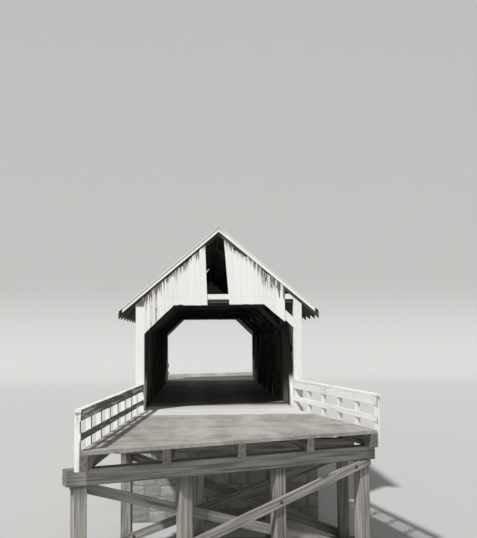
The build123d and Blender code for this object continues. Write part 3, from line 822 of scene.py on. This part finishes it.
# %% [markdown]
# ## Stone abutments
# The abutments are coursed rubble: squared stones with rough faces, laid in level courses, with longer
# stones that turn the corners alternately on one face and on the other. A stone is a box whose edges and
# corners are rounded off by a power curve, which stays a box at a high power and becomes a ball at 2. The
# solid abutment stays as the mortar behind them.

# %% Work out a course of stones
def ring_faces(index):
    """Quads between neighbouring rings of points, and a cap on the first and the last ring."""
    after = np.roll(index, -1, 2)
    quads = np.stack((index[:, :-1], after[:, :-1], after[:, 1:], index[:, 1:]), -1).reshape(-1, 4)
    return [quads, np.concatenate((index[:, 0, ::-1], index[:, -1]))]


def stones(rng, face, start, stop, low, high, length, proud):
    """One course of stones on a face, from start to stop across it and between two levels.

    The section is a power curve: at angle w its point lies at cos(w) and sin(w), each raised to 2 / square
    with its sign kept, times the half sizes. Along the height h, from -1 to 1, it shrinks by
    (1 - |h| ** flat) to the power 1 / flat. Slow waves with random phases roughen the outer side."""
    origin, across, up, out = (np.asarray(v, float) for v in face)
    edges = share_out(rng, start, stop, length, 0.3)
    count = len(edges) - 1
    joint, bed, square, flat = 0.007, 0.3, 9, 14
    w = np.linspace(0, 2 * math.pi, 17)[None, None, :-1] + math.pi / 16
    h = np.array((-0.999, -0.96, -0.6, 0, 0.6, 0.96, 0.999))[None, :, None]
    shrink = (1 - np.abs(h) ** flat) ** (1 / flat)
    half = (np.abs(np.diff(edges)) / 2 - joint)[:, None, None]
    middle = ((edges[:-1] + edges[1:]) / 2)[:, None, None]
    a = np.sign(np.cos(w)) * np.abs(np.cos(w)) ** (2 / square) * shrink
    d = np.sign(np.sin(w)) * np.abs(np.sin(w)) ** (2 / square) * shrink
    phase = rng.uniform(0, 7, (4, count, 1, 1))
    wave = np.sin(7 * a * half + phase[0]) * np.sin(5 * h + phase[1])
    wave = wave + np.sin(19 * a * half + 4 * h + phase[2])
    sunk = rng.uniform(-0.35, 0, (count, 1, 1)) * proud
    bulge = np.clip(d, 0, None) * (wave * 0.2 - 0.3) * proud
    offset = proud - bed / 2 + d * bed / 2 + sunk + bulge
    level = (low + high) / 2 + h * ((high - low) / 2 - joint)
    points = origin + (middle + a * half)[..., None] * across + level[..., None] * up
    points = points + offset[..., None] * out
    faces = ring_faces(np.arange(offset.size).reshape(offset.shape))
    if np.linalg.det((across, up, out)) > 0:
        faces = [part[:, ::-1] for part in faces]
    grain = points + rng.uniform(0, 40, (count, 1, 1, 3))
    tone = np.broadcast_to(rng.uniform(0, 1, (count, 1, 1, 3)), points.shape)
    return points.reshape(-1, 3), faces, grain.reshape(-1, 3), tone.reshape(-1, 3)


# %% Make the stone, and lay it
def rubble(name, dark, light, depth):
    """Stone or mortar: two scales of clouds, a tone of its own on each stone, and damp near the ground."""
    material, shader, grain, ends, place = new_material(name, 0.93)
    clouds = noise(grain, (4.0, 4.0, 4.0), 5.0)
    grit = noise(grain, (60.0, 60.0, 60.0), 4.0)
    mix = maths("MULTIPLY_ADD", ends[2], 0.6, maths("MULTIPLY_ADD", clouds, 0.9, -0.3), clamp=True)
    colour = blend(mix, dark, light)
    colour = blend(ramp(grit, 0.5, 0.75), colour, [v * 0.6 for v in dark])
    damp = ramp(maths("MULTIPLY_ADD", clouds, 0.8, split(place)[2]), 1.1, 0.2)
    colour = blend(maths("MULTIPLY", damp, 0.5), colour, (0.15, 0.15, 0.125))
    paint(shader, colour, maths("MULTIPLY_ADD", grit, 0.35, clouds), depth)
    return material


stone_grey = rubble("stone_grey", (0.25, 0.245, 0.225), (0.52, 0.51, 0.475), 0.03)
mortar_grey = rubble("mortar_grey", (0.24, 0.235, 0.22), (0.33, 0.32, 0.30), 0.01)
abutment_low, abutment_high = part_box("near_abutment")
seat_half, back_top = abutment_high.x, abutment_high.z
back_y, front_y = -abutment_low.y, -abutment_high.y
seat_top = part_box("left_bottom_chord")[0].z
proud, set_back = 0.018, -0.29  # how far a face's stones reach past the corner, where they turn it or not
for seed, (end, sign) in enumerate((("near", -1), ("far", 1)), 70):
    rng = np.random.default_rng(seed)
    lower = share_out(rng, 0.0, seat_top, 0.33, 0.12)
    levels = np.concatenate((lower, share_out(rng, seat_top, back_top, 0.28, 0.05)[1:]))
    walls = []
    for i, (low, high) in enumerate(zip(levels[:-1], levels[1:])):
        reach, turned = (proud, set_back) if i % 2 == 0 else (set_back, proud)
        stop = seat_half + reach
        river_y = front_y if high <= seat_top + 1e-6 else half_span
        for y, out in ((back_y, 1), (river_y, -1)):
            if out > 0 or river_y == front_y:
                face = ((0, sign * y, 0), (1, 0, 0), (0, 0, 1), (0, sign * out, 0))
                walls.append(stones(rng, face, -stop, stop, low, high, 0.55, proud))
        for _, way in sides:
            face = ((way * seat_half, 0, 0), (0, 1, 0), (0, 0, 1), (way, 0, 0))
            inner = river_y - (turned if river_y == front_y else 0)
            limits = sorted((sign * inner, sign * (back_y + turned)))
            walls.append(stones(rng, face, limits[0], limits[1], low, high, 0.5, proud))
    make_piece(f"{end}_stones", walls, stone_grey)
    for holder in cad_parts[f"{end}_abutment"].material_slots:
        holder.material = mortar_grey

# %% [markdown]
# ## Nails and bolts
# Iron holds the timbers. The gable boards and rails are nailed, two nails at each bearing, and the sway
# braces of the trestles are bolted through, with a washer under each head. A head is three rings of
# points: one in the wood, one at the shoulder and a smaller one on top.

# %% Drive nails and bolts
def heads(centres, outward, radius, height, corners):
    """Heads at the given centres that stand out along one direction each, as prisms with a bevelled top."""
    centres = np.asarray(centres, float).reshape(-1, 3)
    outward = np.broadcast_to(np.asarray(outward, float), centres.shape)
    helper = np.where(np.abs(outward[:, 2:]) < 0.9, (0.0, 0.0, 1.0), (1.0, 0.0, 0.0))
    first = np.cross(outward, helper)
    first /= np.linalg.norm(first, axis=1, keepdims=True)
    second = np.cross(outward, first)
    w = np.arange(corners) * 2 * math.pi / corners
    rings = ((radius, -height), (radius, 0.6 * height), (0.75 * radius, height))
    circle = np.cos(w)[None, :, None] * first[:, None] + np.sin(w)[None, :, None] * second[:, None]
    points = np.stack([centres[:, None] + r * circle + z * outward[:, None] for r, z in rings], 1)
    faces = ring_faces(np.arange(points.size // 3).reshape(points.shape[:3]))
    flat = points.reshape(-1, 3)
    return flat, faces, flat, np.zeros_like(flat)


def iron(name):
    """Dark rusty iron."""
    material, shader, _, _, place = new_material(name, 0.7)
    rust = ramp(noise(place, (30.0, 30.0, 30.0), 4.0), 0.35, 0.7)
    colour = blend(rust, (0.06, 0.055, 0.05), (0.16, 0.10, 0.065))
    shader.id_data.links.new(colour, shader.inputs["Base Color"])
    return material


rusty_iron = iron("rusty_iron")
gable_nails = [heads(spots, (0, way, 0), 0.007, 0.003, 8)
               for spots, way in ((near_left_nails, -1), (near_right_nails, -1), (far_nails, 1))]
make_piece("gable_nails", gable_nails, rusty_iron)


def middles_of(parts):
    """The middle of each timber."""
    return np.array([((low + high) / 2) @ axes for _, axes, low, high in parts])


bolts = []
bolt_shares = np.array((0.06, 0.345, 0.655, 0.94))[:, None]  # of a brace's length, one at each post
braces = timber_parts("trestle_braces")[2]
middles = middles_of(braces)
for i, (_, axes, low, high) in enumerate(braces):
    apart = np.linalg.norm(middles - middles[i], axis=1)
    apart[i] = np.inf
    away = middles[i] - middles[apart.argmin()]  # from the brace on the other side of the posts
    outward = axes[2] * np.sign(axes[2] @ away)
    along = low[0] + bolt_shares * (high[0] - low[0])
    centre = along * axes[0] + (low[1] + high[1]) / 2 * axes[1]
    level = high[2] if axes[2] @ outward > 0 else low[2]
    for radius, height, corners in ((0.024, 0.016, 6), (0.042, 0.004, 12)):  # head and washer
        bolts.append(heads(centre + level * axes[2], outward, radius, height, corners))
make_piece("trestle_bolts", bolts, rusty_iron)

rail_nails = []
post_reach = 0.3  # a post whose middle lies closer than this to a board bears it
post_middles = middles_of(timber_parts("rail_posts")[2])
for node, lower in (("top_rails", 0.0), ("mid_rails", mid_lower)):
    for _, axes, low, high in timber_parts(node)[2]:
        spot = post_middles @ axes.T
        beside = np.abs(spot[:, 2] - low[2]) < post_reach
        met = (spot[:, 0] > low[0]) & (spot[:, 0] < high[0]) & beside
        side = np.sign((low[2] + high[2]) / 2 - spot[met, 2].mean())
        level = high[2] if side > 0 else low[2]
        for share in (0.25, 0.75):
            across = low[1] + share * (high[1] - low[1])
            centres = spot[met, 0, None] * axes[0] + across * axes[1] + level * axes[2]
            centres[:, 2] += right_rise(centres[:, 0], centres[:, 1], lower)
            rail_nails.append(heads(centres, side * axes[2], 0.008, 0.004, 8))
make_piece("rail_nails", rail_nails, rusty_iron)

# %% [markdown]
# ## Stage
# The floor and the wall behind it are one pale sheet with a soft bend, so that nothing but the bridge
# draws the eye. It isn't part of the bridge.

# %% Set the floor and backdrop
def pale_stage():
    """A pale sheet: a floor that curves up into a wall, as a profile carried sideways."""
    turn = np.linspace(0, math.pi / 2, 13)
    radius = 12.0
    back = 60.0
    y = np.concatenate(([-120.0], back + radius * np.sin(turn), [back + radius]))
    z = np.concatenate(([0.0], radius - radius * np.cos(turn), [90.0]))
    x = np.array((-160.0, 160.0))
    points = np.stack([np.broadcast_to(v, (len(y), 2)) for v in (x[None, :], y[:, None], z[:, None])], -1)
    index = np.arange(len(y) * 2).reshape(-1, 2)
    faces = np.stack((index[:-1, 0], index[:-1, 1], index[1:, 1], index[1:, 0]), -1)
    mesh = bpy.data.meshes.new("pale_stage")
    mesh.from_pydata(points.reshape(-1, 3).tolist(), [], faces.tolist())
    mesh.shade_smooth()
    floor = bpy.data.objects.new("pale_stage", mesh)
    bpy.context.scene.collection.objects.link(floor)
    material, shader, *_ = new_material("stage_paper", 1.0)
    shader.inputs["Base Color"].default_value = (0.52, 0.52, 0.51, 1)
    shader.inputs["Specular IOR Level"].default_value = 0.0
    mesh.materials.append(material)
    return floor


print("stage:", pale_stage().name)

# %% [markdown]
# ## Light
# A broad lamp high to the front left stands for the sun, with a soft edge to its shadows, and an even
# world fills the rest. Their sum on the gable is about one, so a colour renders about as it is written.

# %% Light the bridge
def stand(name, data, right, up, back, place):
    """A lamp or camera at a place, turned by its own directions to the right, up and backwards."""
    thing = bpy.data.objects.new(name, data)
    bpy.context.scene.collection.objects.link(thing)
    columns = np.column_stack((right, up, back, place))
    thing.matrix_world = Matrix(np.vstack((columns, (0, 0, 0, 1))).tolist())
    return thing


def heading(yaw, tilt):
    """The direction that lies yaw to the right of +Y and tilt above the level."""
    return np.array((math.sin(yaw) * math.cos(tilt), math.cos(yaw) * math.cos(tilt), math.sin(tilt)))


lamp = bpy.data.lights.new("key", "SUN")
lamp.energy = 3.5
lamp.angle = math.radians(3)
to_lamp = heading(math.radians(218), math.radians(48))  # high to the left, behind the camera
side_way = np.cross((0, 0, 1), to_lamp)
side_way /= np.linalg.norm(side_way)
stand("key", lamp, side_way, np.cross(to_lamp, side_way), to_lamp, np.zeros(3))

world = bpy.data.worlds.new("even_light")
bpy.context.scene.world = world
world.use_nodes = True
background = world.node_tree.nodes["Background"]
background.inputs["Color"].default_value = (1.0, 1.0, 1.0, 1)
background.inputs["Strength"].default_value = 0.30
print("key lamp and world are set")

# %% [markdown]
# ## Camera
# The camera stands where the photographer stood: about 23 m before the portal and two metres above the
# deck, turned a little to the right and up. Its place and turn were fitted to the corners of the opening,
# the ridge and the rails.

# %% Place the camera
focal_px, picture_px = 794.1, 538  # focal length and height of the photograph, both in pixels
eye_at = (-0.607, -31.941, 5.011)
camera = bpy.data.cameras.new("camera")
camera.sensor_width = 36.0
camera.lens = focal_px / picture_px * camera.sensor_width
camera.clip_end = 500.0
yaw, tilt, roll = (math.radians(v) for v in (2.934, 5.049, -0.501))
forward = heading(yaw, tilt)
level = np.array((math.cos(yaw), -math.sin(yaw), 0.0))
above = np.cross(level, forward)
rightward = math.cos(roll) * level + math.sin(roll) * above
upward = np.cross(rightward, forward)
bpy.context.scene.camera = stand("camera", camera, rightward, upward, -forward, eye_at)
bpy.context.scene.view_settings.view_transform = "Standard"
print("camera at", eye_at)
